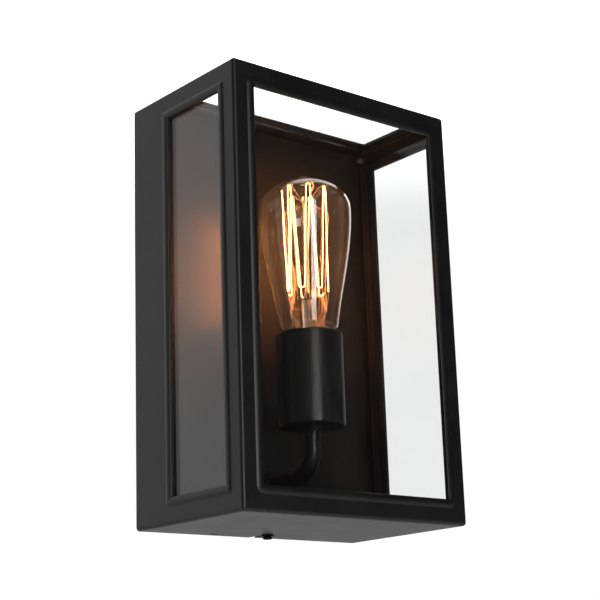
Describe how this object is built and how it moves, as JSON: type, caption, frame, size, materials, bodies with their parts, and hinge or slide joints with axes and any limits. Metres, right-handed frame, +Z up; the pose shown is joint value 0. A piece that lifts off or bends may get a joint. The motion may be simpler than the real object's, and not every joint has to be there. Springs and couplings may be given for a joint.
{
  "type": "wall lantern",
  "caption": "Box-shaped glazed steel wall lantern: the cage slides forward off a back pan that carries a screw-in filament lamp on a bent arm.",
  "frame": {"origin": "centre of the face that lies on the wall, at half the cage's height", "axes": "+Z up, +Y into the wall, the front of the lantern faces -Y, +X to the right seen from in front"},
  "size_m": [0.196, 0.119, 0.3042],
  "materials": {
    "black_coat": "satin fine-texture black powder coat",
    "zinc_steel": "zinc-plated steel",
    "brass": "plain brass",
    "clear_glass": "clear float glass",
    "seal_rubber": "matte black silicone and foam rubber",
    "block_nylon": "natural nylon",
    "earth_insulation": "green and yellow insulation",
    "live_insulation": "brown insulation",
    "neutral_insulation": "blue insulation",
    "porcelain": "glazed porcelain",
    "solder": "dull solder",
    "vitrite": "black glass insulator",
    "lamp_glass": "clear blown glass",
    "copper": "copper lead-in wire",
    "molybdenum": "drawn molybdenum wire",
    "filament": "glowing carbon-look filament"
  },
  "bodies": {
    "base": {"wall_gasket": "seal_rubber", "wall_plate": "zinc_steel", "plate_tabs": "zinc_steel", "back_pan": "black_coat", "pan_screws": "zinc_steel", "pan_nuts": "zinc_steel", "clinch_nut": "zinc_steel", "cable_grommet": "seal_rubber", "terminal_block": "block_nylon", "terminal_screws": "brass", "earth_stud": "zinc_steel", "earth_nut": "brass", "earth_wire": "earth_insulation", "live_lead": "live_insulation", "neutral_lead": "neutral_insulation", "arm_tube": "black_coat", "arm_collar": "black_coat", "arm_nut": "zinc_steel", "cup_collar": "black_coat", "lampholder_cup": "black_coat", "cup_nut": "zinc_steel", "holder_bracket": "zinc_steel", "holder_body": "porcelain", "threaded_shell": "brass", "contact_tongue": "brass"},
    "cage": {"front_frame": "black_coat", "left_frame": "black_coat", "right_frame": "black_coat", "top_frame": "black_coat", "bottom_tray": "black_coat", "front_glass": "clear_glass", "left_glass": "clear_glass", "right_glass": "clear_glass", "top_glass": "clear_glass", "front_seal": "seal_rubber", "left_seal": "seal_rubber", "right_seal": "seal_rubber", "top_seal": "seal_rubber", "left_retainer": "black_coat", "right_retainer": "black_coat", "retainer_studs": "zinc_steel", "retainer_nuts": "zinc_steel"},
    "thumb_ring": {"thumb_washer": "black_coat"},
    "thumb_screw": {"thumb_screw": "black_coat"},
    "lamp_foot": {"lamp_contact": "solder"},
    "lamp": {"lamp_insulator": "vitrite", "lamp_cap": "brass", "lamp_envelope": "lamp_glass", "lamp_stem": "lamp_glass", "lamp_leads": "copper", "lamp_supports": "molybdenum", "lamp_filament": "filament"}
  },
  "joints": [
    {"name": "cage_removal", "type": "slide", "parent": "base", "child": "cage", "axis": [0, -1, 0], "range_m": [0, 0.13]},
    {"name": "thumb_travel", "type": "slide", "parent": "base", "child": "thumb_ring", "axis": [0, 0, -1], "range_m": [0, 0.0021]},
    {"name": "thumb_turn", "type": "hinge", "parent": "thumb_ring", "child": "thumb_screw", "pos_m": [0, -0.0185, -0.15], "axis": [0, 0, -1], "range_deg": [0, 1080]},
    {"name": "lamp_travel", "type": "slide", "parent": "base", "child": "lamp_foot", "axis": [0, 0, 1], "range_m": [0, 0.01453]},
    {"name": "lamp_turn", "type": "hinge", "parent": "lamp_foot", "child": "lamp", "pos_m": [0, -0.07, -0.045], "axis": [0, 0, 1], "range_deg": [0, 1440]}
  ],
  "couplings": [
    {"joint": "thumb_turn", "follows": "thumb_travel", "rad_per_m": 8976},
    {"joint": "lamp_travel", "follows": "lamp_turn", "m_per_rad": 0.00057757}
  ]
}
